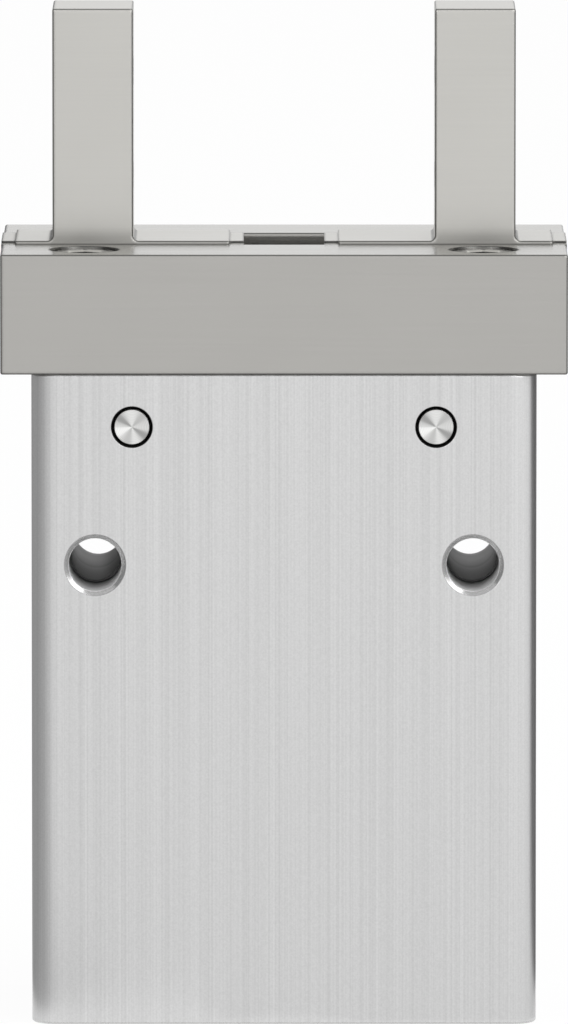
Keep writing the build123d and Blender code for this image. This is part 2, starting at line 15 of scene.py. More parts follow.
import bmesh
import bpy
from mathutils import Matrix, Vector


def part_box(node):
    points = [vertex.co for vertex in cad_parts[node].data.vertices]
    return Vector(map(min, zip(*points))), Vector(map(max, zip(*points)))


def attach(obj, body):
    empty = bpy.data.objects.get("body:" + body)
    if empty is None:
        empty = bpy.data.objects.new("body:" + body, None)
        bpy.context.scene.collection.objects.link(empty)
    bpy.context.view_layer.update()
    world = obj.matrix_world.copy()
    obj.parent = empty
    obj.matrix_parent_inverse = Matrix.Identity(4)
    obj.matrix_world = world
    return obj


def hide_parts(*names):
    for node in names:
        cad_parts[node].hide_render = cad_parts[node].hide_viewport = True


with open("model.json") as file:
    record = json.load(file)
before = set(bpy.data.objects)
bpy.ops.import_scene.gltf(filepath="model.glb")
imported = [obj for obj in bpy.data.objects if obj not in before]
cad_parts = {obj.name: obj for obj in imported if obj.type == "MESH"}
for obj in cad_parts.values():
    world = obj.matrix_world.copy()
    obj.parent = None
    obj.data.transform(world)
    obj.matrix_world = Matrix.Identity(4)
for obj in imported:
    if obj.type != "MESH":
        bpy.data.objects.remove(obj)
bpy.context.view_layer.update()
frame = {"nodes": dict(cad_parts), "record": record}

nodes = frame["nodes"]
MM = 0.001
MICRON = 1e-6

# %% [markdown]
# Measures that several steps share
#
# The finishes need to know where a few features stand: the front face, the top of the guide block, the
# pins' ends, the mounting holes and the screws' rows. They come straight from the frame's boxes and
# from its record, so they follow the model when it changes. The two pins share one height, and so do
# the two holes.

# %% Places taken from the frame
body_low, body_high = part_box("body_housing")
block_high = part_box("guide_block")[1]
screws_low, screws_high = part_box("guide_screws")
pin_low, pin_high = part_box("right_pivot_pin")

front_y = body_low.y
pin_center = Vector(((pin_low.x + pin_high.x) / 2, 0, (pin_low.z + pin_high.z) / 2))
mounts = {mount["name"]: mount for mount in frame["record"]["mounts"]}
holes = mounts["mounting_holes"]
hole_x = holes["dims"]["spacing_x_mm"] / 2 * MM
hole_z = holes["pos_m"][2]
print("front face at y =", round(front_y / MM, 2), "mm, pins at x = +-", round(pin_center.x / MM, 2),
      "mm, mounting holes at x = +-", round(hole_x / MM, 2), "mm")

# %% [markdown]
# Building blocks for the finishes
#
# Every metal here is one Principled shader with a pattern on top. The pattern always starts from the
# Object coordinates, because they don't move with the camera. A Mapping node stretches a noise: long along
# the direction of working, short across it, and that alone turns a cloud into brush lines or grinding
# marks.
# Values that are the same all over stay on the shader's own sockets. Only what really varies gets a link.

# %% A material and its pattern
def finish(name, color, metallic, roughness):
    """A new material with one shader, its node tree and the shader."""
    material = bpy.data.materials.new(name)
    material.use_nodes = True
    tree = material.node_tree
    shader = tree.nodes["Principled BSDF"]
    shader.inputs["Base Color"].default_value = (*color, 1)
    shader.inputs["Metallic"].default_value = metallic
    shader.inputs["Roughness"].default_value = roughness
    return material, tree, shader


def pattern_place(tree, scale=(1, 1, 1), location=(0, 0, 0), turn=(0, 0, 0)):
    """Object coordinates, moved, turned and stretched: a texture's Vector input."""
    coordinates = tree.nodes.new("ShaderNodeTexCoord")
    mapping = tree.nodes.new("ShaderNodeMapping")
    mapping.inputs["Scale"].default_value = scale
    mapping.inputs["Location"].default_value = location
    mapping.inputs["Rotation"].default_value = turn
    tree.links.new(coordinates.outputs["Object"], mapping.inputs["Vector"])
    return mapping.outputs["Vector"]


OCTAVE_STRENGTH = 0.55


def grain(tree, scale, detail=3.0):
    """Noise whose cells are 1 / scale metres long on each axis."""
    noise = tree.nodes.new("ShaderNodeTexNoise")
    noise.inputs["Scale"].default_value = 1.0
    noise.inputs["Detail"].default_value = detail
    noise.inputs["Roughness"].default_value = OCTAVE_STRENGTH
    tree.links.new(pattern_place(tree, scale), noise.inputs["Vector"])
    return noise.outputs["Fac"]


print("patterns start from the Object coordinates")

# %% Small sums on node values
NOISE_SPAN = (0.3, 0.7)


def spread(tree, value, low, high, from_low=NOISE_SPAN[0], from_high=NOISE_SPAN[1]):
    """Stretches a value onto a new span. A noise lies nearly always in NOISE_SPAN."""
    node = tree.nodes.new("ShaderNodeMapRange")
    node.inputs["From Min"].default_value = from_low
    node.inputs["From Max"].default_value = from_high
    node.inputs["To Min"].default_value = low
    node.inputs["To Max"].default_value = high
    tree.links.new(value, node.inputs["Value"])
    return node.outputs["Result"]


def about_one(tree, pattern, contrast, span=NOISE_SPAN):
    """A pattern turned into a factor that swings by the contrast to both sides of 1."""
    return spread(tree, pattern, 1 - contrast, 1 + contrast, *span)


def combine(tree, operation, first, second=0.0):
    """One Math node on two values, where a plain number is allowed as the second."""
    node = tree.nodes.new("ShaderNodeMath")
    node.operation = operation
    tree.links.new(first, node.inputs[0])
    if isinstance(second, (int, float)):
        node.inputs[1].default_value = second
    else:
        tree.links.new(second, node.inputs[1])
    return node.outputs["Value"]


def product(tree, first, *others):
    """All the values multiplied."""
    for other in others:
        first = combine(tree, "MULTIPLY", first, other)
    return first


def blend_values(tree, mask, first, second):
    """First where the mask is 0, second where it is 1. Plain numbers are allowed."""
    node = tree.nodes.new("ShaderNodeMix")
    tree.links.new(mask, node.inputs[0])
    for place, value in ((2, first), (3, second)):
        if isinstance(value, (int, float)):
            node.inputs[place].default_value = value
        else:
            tree.links.new(value, node.inputs[place])
    return node.outputs[0]


print("a noise is taken to lie between", *NOISE_SPAN)

# %% From a pattern to the shader
def shade_color(tree, shader, color, factor):
    """Base colour times a factor that varies over the surface."""
    mix = tree.nodes.new("ShaderNodeVectorMath")
    mix.operation = "SCALE"
    mix.inputs[0].default_value = color
    tree.links.new(factor, mix.inputs["Scale"])
    tree.links.new(mix.outputs["Vector"], shader.inputs["Base Color"])


def relief(tree, shader, height, depth, normal=None):
    """Bump from a height between 0 and 1 that stands for a real depth in metres."""
    bump = tree.nodes.new("ShaderNodeBump")
    bump.inputs["Distance"].default_value = depth
    tree.links.new(height, bump.inputs["Height"])
    if normal:
        tree.links.new(normal, bump.inputs["Normal"])
    tree.links.new(bump.outputs["Normal"], shader.inputs["Normal"])


def dress(names, material):
    """Puts a material on CAD nodes, in the slots that they already have."""
    for name in names:
        for slot in nodes[name].material_slots:
            slot.material = material
    print(material.name, "on", ", ".join(names))


print("nodes that wait for a finish:", len(nodes))

# %% [markdown]
# Softened edges, with painted shade
#
# No machined edge is truly sharp. It is broken with a stone or a brush. The Bevel node rounds the normals
# near an edge without any change to the mesh, and where its normal leaves the face's own, a factor falls,
# which later darkens the colour: a thin painted shade along each edge and in each inner corner, where a
# rounded edge mirrors darker surroundings or lies in shade. The rounded normal itself goes into the bump,
# so the edge also catches a soft light.

# %% Softened edges and their painted shade
BEVEL_SAMPLES = 6
EDGE_SPAN = (0.84, 0.97)


def object_parts(tree, output):
    """The three components of the Object coordinates or of the normal."""
    coordinates = tree.nodes.new("ShaderNodeTexCoord")
    parts = tree.nodes.new("ShaderNodeSeparateXYZ")
    tree.links.new(coordinates.outputs[output], parts.inputs["Vector"])
    return parts.outputs


def square_to_axes(tree):
    """1 on faces that are square to an axis, less on fillets and chamfers."""
    normal = object_parts(tree, "Normal")
    sizes = [combine(tree, "ABSOLUTE", normal[axis]) for axis in "XYZ"]
    return combine(tree, "MAXIMUM", combine(tree, "MAXIMUM", sizes[0], sizes[1]), sizes[2])


def soft_edges_and_painted_shade(tree, radius, darkest, square=None):
    """Normals rounded over the edges, and a painted shade factor from 1 on the faces to darkest on the
    edges.
    """
    rounded = tree.nodes.new("ShaderNodeBevel")
    rounded.samples = BEVEL_SAMPLES
    rounded.inputs["Radius"].default_value = radius
    plain = tree.nodes.new("ShaderNodeNewGeometry")
    match = tree.nodes.new("ShaderNodeVectorMath")
    match.operation = "DOT_PRODUCT"
    tree.links.new(rounded.outputs["Normal"], match.inputs[0])
    tree.links.new(plain.outputs["True Normal"], match.inputs[1])
    near_face = match.outputs["Value"]
    if square:
        near_face = combine(tree, "MINIMUM", near_face, square)
    return rounded.outputs["Normal"], spread(tree, near_face, darkest, 1, *EDGE_SPAN)


print("the shade falls where the two normals agree by less than", EDGE_SPAN[1])

# %% [markdown]
# The drawn body
#
# The body is an extruded aluminium profile, clear anodised. Drawing leaves fine lines along Z, some
# barely lighter, some barely darker, and the anodic layer adds a very fine sparkle in all directions.
# Two stretched noises make the lines at two widths, and a round one makes the grain. Multiplied, they
# move the colour by a few percent, and the lines move the roughness with it, which is all that the
# real finish does.
#
# The walls of the mounting holes and the rings round the pins get painted shade. Little light finds its way
# out of them, so their colour is darkened, deeper along the bore, with a painted light edge at the mouth.
# A distance from the holes' axes marks those walls, and a ramp along their depth paints the shade.

# %% Lines and grain of the drawn profile
BODY_COLOR = (0.633, 0.633, 0.633)
FINE_LINES, FINE_CONTRAST = (6500, 6500, 7), 0.06
WIDE_LINES, WIDE_CONTRAST = (1500, 1500, 4), 0.017
SPARKLE, SPARKLE_CONTRAST = (7000, 7000, 7000), 0.04
BODY_EDGE_RADIUS = 0.15 * MM
# Painted shade: the body's colour falls to this share on its edges.
BODY_PAINTED_EDGE_SHADE = 0.5

drawn_aluminium, tree, shader = finish("drawn_aluminium", BODY_COLOR, metallic=1.0, roughness=0.34)
fine_lines = about_one(tree, grain(tree, FINE_LINES, detail=2), FINE_CONTRAST)
wide_lines = about_one(tree, grain(tree, WIDE_LINES, detail=3), WIDE_CONTRAST)
sparkle = about_one(tree, grain(tree, SPARKLE, detail=1), SPARKLE_CONTRAST)
body_shade = product(tree, fine_lines, wide_lines, sparkle)
# Painted shade along the body's edges, from the rounded Bevel normals.
edge_normal, painted_edge_shade = soft_edges_and_painted_shade(tree, BODY_EDGE_RADIUS, BODY_PAINTED_EDGE_SHADE)
print("drawing lines change the colour by", round(100 * FINE_CONTRAST), "percent")

# %% Where the shade is painted: bore walls, chamfers and pin rings
MOUTH_RADIUS = 2.26 * MM
CHAMFER_START = 2.30 * MM
CHAMFER_RADIUS = 2.62 * MM
CHAMFER_FADE = 0.05 * MM
RELIEF_RADIUS = 1.76 * MM
RELIEF_FADE = 0.02 * MM


def apart(tree, first, second):
    """The length of the line whose two components are given."""
    flat = tree.nodes.new("ShaderNodeCombineXYZ")
    tree.links.new(first, flat.inputs["X"])
    tree.links.new(second, flat.inputs["Y"])
    length = tree.nodes.new("ShaderNodeVectorMath")
    length.operation = "LENGTH"
    tree.links.new(flat.outputs["Vector"], length.inputs[0])
    return length.outputs["Value"]


def off_axis(tree, axis_x, axis_z):
    """How far a point stands from the nearer of two axes along Y, at plus and minus axis_x."""
    place = object_parts(tree, "Object")
    across = combine(tree, "SUBTRACT", combine(tree, "ABSOLUTE", place["X"]), axis_x)
    return apart(tree, across, combine(tree, "SUBTRACT", place["Z"], axis_z))


from_hole = off_axis(tree, hole_x, hole_z)
from_pin = off_axis(tree, pin_center.x, pin_center.z)
# Masks of the painted shade: the bore walls, the chamfers and the ring round each pin.
in_bore = spread(tree, from_hole, 1, 0, MOUTH_RADIUS, CHAMFER_START)
in_chamfer = spread(tree, from_hole, 1, 0, CHAMFER_RADIUS, CHAMFER_RADIUS + CHAMFER_FADE)
in_ring = spread(tree, from_pin, 1, 0, RELIEF_RADIUS, RELIEF_RADIUS + RELIEF_FADE)
print("bore up to", round(MOUTH_RADIUS / MM, 2), "mm from a hole's axis, chamfer up to",
      round(CHAMFER_RADIUS / MM, 2), "mm, dark ring up to", round(RELIEF_RADIUS / MM, 2), "mm from a pin's")

# %% Painted light and shade along the bore, from the front face to the back one
STEP = 0.255
# Painted light and shade in the bore: lighter than the face at the mouth, a painted dark line at the step,
# darker further in.
BORE_PAINTED_SHADES = ((0.00, 1.50), (0.08, 1.40), (0.16, 1.00), (0.22, 0.50), (STEP, 0.11), (0.275, 0.20),
               (0.58, 0.21), (0.62, 0.09), (0.68, 0.15), (0.82, 0.16), (0.92, 0.10), (1.00, 0.30))


def ramp(tree, value, stops):
    """A value between 0 and 1 turned into a grey by a colour ramp."""
    node = tree.nodes.new("ShaderNodeValToRGB")
    elements = node.color_ramp.elements
    elements.remove(elements[1])
    for place, grey in stops:
        stop = elements.new(place) if place else elements[0]
        stop.position = place
        stop.color = (grey, grey, grey, 1)
    tree.links.new(value, node.inputs["Fac"])
    return node.outputs["Color"]


depth = spread(tree, object_parts(tree, "Object")["Y"], 0, 1, body_low.y, body_high.y)
bore_painted_shade = product(tree, ramp(tree, depth, BORE_PAINTED_SHADES), body_shade)
print("dark line", round(STEP * (body_high.y - body_low.y) / MM, 1), "mm deep, where the mouth ends")

# %% Anodised aluminium with painted shade in its holes, chamfers and pin rings
# Painted shade: the chamfers round the holes are darkened to this share of the face's colour.
CHAMFER_PAINTED_SHADE, CHAMFER_ROUGHNESS = 0.7, 0.2
BORE_METAL, BORE_ROUGHNESS = 0.75, 0.5
# Painted shade: the narrow ring round each pin is painted nearly black, where there is only shade in the
# gap.
RING_PAINTED_SHADE, RING_ROUGHNESS = 0.01, 0.9
LINES_ROUGHNESS = (0.30, 0.38)

# Painted shade on the face's edges and chamfers, on top of the drawing lines.
face_lines_and_painted_shade = product(tree, body_shade, painted_edge_shade, blend_values(tree, in_chamfer, 1.0, CHAMFER_PAINTED_SHADE))
wall_painted_shade = blend_values(tree, in_bore, face_lines_and_painted_shade, bore_painted_shade)
shade_color(tree, shader, BODY_COLOR, blend_values(tree, in_ring, wall_painted_shade, RING_PAINTED_SHADE))

roughness = spread(tree, fine_lines, *LINES_ROUGHNESS, 1 - FINE_CONTRAST, 1 + FINE_CONTRAST)
roughness = blend_values(tree, in_chamfer, roughness, CHAMFER_ROUGHNESS)
roughness = blend_values(tree, in_bore, roughness, BORE_ROUGHNESS)
roughness = blend_values(tree, in_ring, roughness, RING_ROUGHNESS)
tree.links.new(roughness, shader.inputs["Roughness"])
metal = blend_values(tree, in_ring, blend_values(tree, in_bore, 1.0, BORE_METAL), 0.0)
tree.links.new(metal, shader.inputs["Metallic"])
relief(tree, shader, fine_lines, 0.5 * MICRON, edge_normal)
dress(["body_housing"], drawn_aluminium)

# %% [markdown]
# The ground steel of the guide block and the jaws
#
# Both are hardened steel, ground on all sides, and a touch warmer than the aluminium. The block looks
# darker and quite even. The jaws are finer ground and lighter. Grinding marks run along X on both,
# because that is the way the parts lie on the grinder, and they are so fine that only the highlight
# shows them.
#
# Their painted edge shade is stronger than the body's. Both parts are boxes, so a normal that points along
# no axis belongs to a broken edge or a fillet, and its colour is darkened as painted shade, together with
# what the Bevel node finds.
#
# Painted shade darkens the foot of each jaw, just above the block, where the jaw meets the block's top, and
# the walls round the sunk screw heads.

# %% One grade of ground steel
EDGE_RADIUS = 0.36 * MM
PAINTED_EDGE_SHADE = 0.28
GRINDING = (60, 5200, 5200)
CLOUD = (90, 90, 90)
ROUGHNESS_SWING = 0.03


def ground_steel(name, color, roughness, contrast, shadows=None):
    """Warm grey steel with fine grinding marks along X, a faint cloud and painted shade on its edges and
    fillets.

    Shadows is a function that gives a further factor.
    """
    material, tree, shader = finish(name, color, 1.0, roughness)
    marks = about_one(tree, grain(tree, GRINDING, detail=2), contrast)
    cloud = about_one(tree, grain(tree, CLOUD, detail=2), contrast)
    # Painted shade on edges and fillets, from the Bevel normals and the faces that are not square to an
    # axis.
    edge_normal, painted_edge_shade = soft_edges_and_painted_shade(tree, EDGE_RADIUS, PAINTED_EDGE_SHADE, square_to_axes(tree))
    shade = product(tree, marks, cloud, painted_edge_shade)
    if shadows:
        shade = product(tree, shade, shadows(tree))
    shade_color(tree, shader, color, shade)
    lowest, highest = roughness - ROUGHNESS_SWING, roughness + ROUGHNESS_SWING
    marks_roughness = spread(tree, marks, lowest, highest, 1 - contrast, 1 + contrast)
    tree.links.new(marks_roughness, shader.inputs["Roughness"])
    relief(tree, shader, marks, 0.3 * MICRON, edge_normal)
    return material


print("edge lines are", round(EDGE_RADIUS / MM, 2), "mm wide")

# %% Where shade is painted on the steel
HEAD_RADIUS = 2.75 * MM
SUNK_RADIUS = 2.99 * MM
SUNK_FADE = 0.04 * MM
# Painted shade on the walls round the sunk screw heads.
SUNK_PAINTED_SHADE = 0.5
# Painted shade up the jaws' foot: darkest where a jaw meets the block, fading out higher up.
FOOT_PAINTED_SHADES = ((0.00, 0.35), (0.04, 0.42), (0.08, 0.70), (0.20, 0.72), (0.45, 0.77), (0.70, 0.89), (1.00, 1.00))
FOOT_SHADE_HEIGHT = 1.5 * MM
UPRIGHT_SPAN = (0.5, 0.8)


def off_screw(tree):
    """How far a point stands from the nearest screw's axis."""
    place = object_parts(tree, "Object")
    middle_y = (screws_low.y + screws_high.y) / 2
    across = combine(tree, "ABSOLUTE", place["X"])
    across = combine(tree, "SUBTRACT", across, screws_high.x - HEAD_RADIUS)
    along = combine(tree, "ABSOLUTE", combine(tree, "SUBTRACT", place["Y"], middle_y))
    along = combine(tree, "SUBTRACT", along, screws_high.y - HEAD_RADIUS - middle_y)
    return apart(tree, across, along)


def sunk_walls_painted_shade(tree):
    """Painted shade on the walls round the four screw heads."""
    return spread(tree, off_screw(tree), SUNK_PAINTED_SHADE, 1, SUNK_RADIUS, SUNK_RADIUS + SUNK_FADE)


def painted_shade_at_foot(tree):
    """Painted shade on the upright faces just above the guide block."""
    height = object_parts(tree, "Object")["Z"]
    above = spread(tree, height, 0, 1, block_high.z, block_high.z + FOOT_SHADE_HEIGHT)
    facing = combine(tree, "ABSOLUTE", object_parts(tree, "Normal")["Y"])
    return blend_values(tree, spread(tree, facing, 0, 1, *UPRIGHT_SPAN), 1.0, ramp(tree, above, FOOT_PAINTED_SHADES))


# How high the painted shade reaches above the block.
print("grease up to", round(FOOT_SHADE_HEIGHT / MM, 1), "mm above the block")

# %% Two grades of ground steel
block_steel = ground_steel("block_steel", (0.438, 0.431, 0.411), roughness=0.24, contrast=0.012,
                           shadows=sunk_walls_painted_shade)
jaw_steel = ground_steel("jaw_steel", (0.556, 0.548, 0.522), roughness=0.33, contrast=0.010,
                         shadows=painted_shade_at_foot)
dress(["guide_block"], block_steel)
dress(["left_jaw", "right_jaw"], jaw_steel)

# %% [markdown]
# The turned ends of the pivot pins
#
# The pins' ends are faced on a lathe. The tool leaves rings round the centre, and rings of that kind
# spread every reflection into bright and dark wedges, as on the lid of a pan. The rings themselves are
# far below a pixel, so a bump of fine rings carries the texture. The wedges are painted reflection: a
# gradient that runs round the centre lightens and darkens the colour wedge by wedge. Each pin has its
# own centre, so each gets its own copy of the material.

# %% Rings and painted reflection wedges
PIN_COLOR = (0.70, 0.70, 0.69)
PIN_ROUGHNESS = 0.30
PIN_RING_CONTRAST = 0.10
RING_SPAN = (0, 1)
# Painted reflection: bright and dark wedges round each pin's centre, as shares of the pin's colour.
PAINTED_WEDGES = ((0.00, 1.05), (0.05, 0.80), (0.10, 0.50), (0.15, 0.78), (0.22, 1.05), (0.28, 1.05), (0.375, 0.72),
          (0.45, 0.92), (0.52, 0.95), (0.59, 0.50), (0.65, 0.85), (0.71, 1.08), (0.80, 0.78), (0.87, 0.95),
          (0.94, 1.30), (1.00, 1.05))


def lathe_rings(tree, place, scale, distortion):
    """Rings round the Z axis of the given coordinates."""
    rings = tree.nodes.new("ShaderNodeTexWave")
    rings.wave_type = "RINGS"
    rings.rings_direction = "Z"
    rings.inputs["Scale"].default_value = scale
    rings.inputs["Distortion"].default_value = distortion
    tree.links.new(place, rings.inputs["Vector"])
    return rings.outputs["Fac"]


def painted_wedge_shade(tree, place):
    """Half of the painted wedge value for the direction in which a point lies, seen from the centre.

    Halved, because the curve ends at 1.
    """
    round_the_center = tree.nodes.new("ShaderNodeTexGradient")
    round_the_center.gradient_type = "RADIAL"
    tree.links.new(place, round_the_center.inputs["Vector"])
    wedges = tree.nodes.new("ShaderNodeFloatCurve")
    curve = wedges.mapping.curves[0]
    for turn, value in PAINTED_WEDGES[1:-1]:
        curve.points.new(turn, value / 2)
    for end in (0, -1):
        turn, value = PAINTED_WEDGES[end]
        curve.points[end].location = (turn, value / 2)
    wedges.mapping.update()
    tree.links.new(round_the_center.outputs["Fac"], wedges.inputs["Value"])
    return wedges.outputs["Value"]


print("stops round a pin:", len(PAINTED_WEDGES))

# %% Faced pin ends
def turned_end(name, center_x):
    """Turned steel whose rings and painted reflection wedges centre on a pin that points along Y."""
    material, tree, shader = finish(name, PIN_COLOR, 1.0, PIN_ROUGHNESS)
    center = (-center_x, pin_center.z, 0)
    lathe_view = pattern_place(tree, location=center, turn=(pi / 2, 0, 0))
    rings = lathe_rings(tree, lathe_view, scale=2300, distortion=1.5)
    # The painted reflection wedges, at full strength.
    painted_wedges_full = combine(tree, "MULTIPLY", painted_wedge_shade(tree, lathe_view), 2)
    ring_shade = about_one(tree, rings, PIN_RING_CONTRAST, RING_SPAN)
    shade_color(tree, shader, PIN_COLOR, product(tree, painted_wedges_full, ring_shade))
    relief(tree, shader, rings, 1.0 * MICRON)
    return material


dress(["right_pivot_pin"], turned_end("turned_end_right", pin_center.x))
dress(["left_pivot_pin"], turned_end("turned_end_left", -pin_center.x))

# %% [markdown]
# The finishes inside and underneath
#
# Few of these pieces show, but every one gets the finish that it has in the real gripper, so the model
# still looks right when somebody takes it apart. Turned pieces get rings round the Z axis, pieces of
# rubber and plastic a matt grain, sintered bronze and the ground dowels a speckle, and phosphated
# spring steel a dark one.

# %% Turned and speckled finishes
RING_CONTRAST = 0.05
CLOUD_CONTRAST = 0.04


def turned_metal(name, color, roughness, ring_scale=2600):
    """Lathe rings round the Z axis, for pieces that turn about it."""
    material, tree, shader = finish(name, color, 1.0, roughness)
    rings = lathe_rings(tree, pattern_place(tree), ring_scale, distortion=2.0)
    cloud = about_one(tree, grain(tree, (160, 160, 160)), CLOUD_CONTRAST)
    shade_color(tree, shader, color, product(tree, cloud, about_one(tree, rings, RING_CONTRAST, RING_SPAN)))
    relief(tree, shader, rings, 1.5 * MICRON)
    return material


def speckled(name, color, metallic, roughness, cell, contrast, depth):
    """A fine even speckle with cells of the given size, for sintered, bonded and moulded pieces."""
    material, tree, shader = finish(name, color, metallic, roughness)
    size = 1 / cell
    speckle = grain(tree, (size, size, size), detail=4)
    shade_color(tree, shader, color, about_one(tree, speckle, contrast))
    tree.links.new(spread(tree, speckle, roughness - 0.05, roughness + 0.05), shader.inputs["Roughness"])
    relief(tree, shader, speckle, depth)
    return material


print("two more kinds of finish ready")

# %% The finishes of the works
rod_steel = turned_metal("ground_rod", (0.66, 0.66, 0.66), 0.16, ring_scale=5000)
piston_aluminium = turned_metal("turned_aluminium", (0.60, 0.60, 0.61), 0.30)
cap_aluminium = turned_metal("turned_cap", (0.56, 0.56, 0.57), 0.34, ring_scale=1500)
zinc_screw = turned_metal("zinc_screw", (0.52, 0.52, 0.53), 0.30, ring_scale=2200)
lever_steel = ground_steel("lever_steel", (0.36, 0.355, 0.34), roughness=0.38, contrast=0.03)

# The numbers of a speckled finish: metallic, roughness, size of a cell, contrast, depth of the relief.
dowel_steel = speckled("dowel_steel", (0.55, 0.545, 0.53), 1.0, 0.22, 0.06 * MM, 0.06, 0.5 * MICRON)
sintered_bronze = speckled("sintered_bronze", (0.46, 0.28, 0.11), 1.0, 0.45, 0.12 * MM, 0.18, 4 * MICRON)
bonded_magnet = speckled("bonded_magnet", (0.035, 0.035, 0.038), 0.3, 0.55, 0.10 * MM, 0.20, 3 * MICRON)
filled_plastic = speckled("filled_plastic", (0.11, 0.065, 0.040), 0.0, 0.50, 0.15 * MM, 0.15, 3 * MICRON)
seal_rubber = speckled("seal_rubber", (0.012, 0.012, 0.012), 0.0, 0.62, 0.20 * MM, 0.15, 3 * MICRON)
bumper_rubber = speckled("bumper_rubber", (0.030, 0.030, 0.030), 0.0, 0.70, 0.25 * MM, 0.15, 4 * MICRON)
phosphated_steel = speckled("phosphated_steel", (0.045, 0.045, 0.048), 0.6, 0.42,
                            0.08 * MM, 0.25, 2 * MICRON)
print("materials so far:", len(bpy.data.materials))

# %% Put them on their pieces
dress(["piston_rod"], rod_steel)
dress(["piston_upper_half", "piston_lower_half"], piston_aluminium)
dress(["end_cap"], cap_aluminium)
dress(["piston_screw"], zinc_screw)
dress(["guide_dowels"], dowel_steel)
dress(["left_lever", "right_lever"], lever_steel)
dress(["left_lever_bush", "right_lever_bush", "rod_bush"], sintered_bronze)
dress(["piston_magnet"], bonded_magnet)
dress(["piston_wear_ring"], filled_plastic)
dress(["piston_seals", "rod_seal", "end_cap_seal"], seal_rubber)
dress(["upper_bumper", "lower_bumper"], bumper_rubber)
dress(["retaining_ring"], phosphated_steel)

# %% [markdown]
# Stainless socket screws
#
# The guide block is held by four M3 socket head screws. A real head has a rounded rim, a knurled side,
# a shallow cone round the socket and a drill point at its bottom, and from low angles it is that cone
# and the socket's walls that sparkle. The CAD screws have none of it, so four better ones replace
# them. One screw is built from rings of points, each ring at its own height. A ring is round, knurled
# or six-sided, and only the rule for its radius changes, so neighbouring rings always join up.

# %% Rings of one screw
SEGMENTS = 96
KNURLS = 24
HEAD_HEIGHT = 3.0 * MM
RIM_RADIUS = 0.2 * MM
KNURLS_STOP = 3.0 * RIM_RADIUS
ROUND_AGAIN = 2.6 * RIM_RADIUS
SHANK_RADIUS = 1.5 * MM
SOCKET_HALF_FLATS = 1.27 * MM
SOCKET_DEPTH = 1.5 * MM
DRILL_RADIUS = SOCKET_HALF_FLATS * 0.92
DRILL_STEP = 0.05 * MM
CONE_RADIUS = 1.62 * MM
CONE_DEPTH = 0.12 * MM
KNURL_DEPTH = 0.05 * MM
POINT_DEPTH = 0.6 * MM
TIP_CHAMFER = 0.3 * MM
RIM_STEPS = 6


def round_ring(radius):
    """The same radius all round."""
    return lambda angle: radius


def knurled_ring(radius):
    """Ridges and grooves along the head's side."""
    return lambda angle: radius - KNURL_DEPTH * (1 - cos(KNURLS * angle)) / 2


def six_sided_ring(half_flats):
    """A hexagon with two flats across X."""
    def radius(angle):
        from_flat = (angle + pi / 6) % (pi / 3) - pi / 6
        return half_flats / cos(from_flat)
    return radius


def screw_rings(seat_z, shank_end):
    """The rules and heights of a screw's rings, from the tip of the shank to the drill point."""
    top = seat_z + HEAD_HEIGHT
    rings = [
        (round_ring(SHANK_RADIUS - TIP_CHAMFER), shank_end),
        (round_ring(SHANK_RADIUS), shank_end + TIP_CHAMFER),
        (round_ring(SHANK_RADIUS), seat_z),
        (round_ring(HEAD_RADIUS - RIM_RADIUS), seat_z),
        (knurled_ring(HEAD_RADIUS), seat_z + RIM_RADIUS),
        (knurled_ring(HEAD_RADIUS), top - KNURLS_STOP),
        (round_ring(HEAD_RADIUS), top - ROUND_AGAIN),
    ]
    for step in range(RIM_STEPS + 1):
        turn = pi / 2 * step / RIM_STEPS
        radius = HEAD_RADIUS - RIM_RADIUS * (1 - cos(turn))
        rings.append((round_ring(radius), top - RIM_RADIUS * (1 - sin(turn))))
    rings += [
        (round_ring(CONE_RADIUS), top),
        (six_sided_ring(SOCKET_HALF_FLATS), top - CONE_DEPTH),
        (six_sided_ring(SOCKET_HALF_FLATS), top - SOCKET_DEPTH),
        (round_ring(DRILL_RADIUS), top - SOCKET_DEPTH - DRILL_STEP),
    ]
    return rings


print("one screw has", len(screw_rings(0, -12 * MM)), "rings of", SEGMENTS, "points")

# %% Build one screw at its true height
SHARP_ANGLE = radians(28)
seat_z = screws_high.z - HEAD_HEIGHT


def one_screw():
    """The mesh of one screw on the Z axis, at the height that the four stand at."""
    shape = bmesh.new()
    angles = [2 * pi * i / SEGMENTS for i in range(SEGMENTS)]
    rows = []
    for rule, height in screw_rings(seat_z, screws_low.z):
        rows.append([shape.verts.new((rule(a) * cos(a), rule(a) * sin(a), height)) for a in angles])
    for lower, upper in zip(rows, rows[1:]):
        for i in range(SEGMENTS):
            j = (i + 1) % SEGMENTS
            shape.faces.new((lower[i], lower[j], upper[j], upper[i]))
    shape.faces.new(list(reversed(rows[0])))
    drill_point = shape.verts.new((0, 0, screws_high.z - SOCKET_DEPTH - POINT_DEPTH))
    for i in range(SEGMENTS):
        shape.faces.new((rows[-1][i], rows[-1][(i + 1) % SEGMENTS], drill_point))
    bmesh.ops.recalc_face_normals(shape, faces=shape.faces)
    mesh = bpy.data.meshes.new("screw_pattern")
    shape.to_mesh(mesh)
    shape.free()
    mesh.shade_smooth()
    mesh.set_sharp_from_angle(angle=SHARP_ANGLE)
    return mesh


screw_pattern = bpy.data.objects.new("screw_pattern", one_screw())
print("faces in one screw:", len(screw_pattern.data.polygons))

# %% [markdown]
# The finish of the screws
#
# Such a head is faced on a lathe and its socket is pressed. The facing leaves fine rings round each
# screw's own axis, and the punch leaves smooth walls. So the rings follow the distance from the
# nearest screw, and the roughness falls from the rim towards the socket.

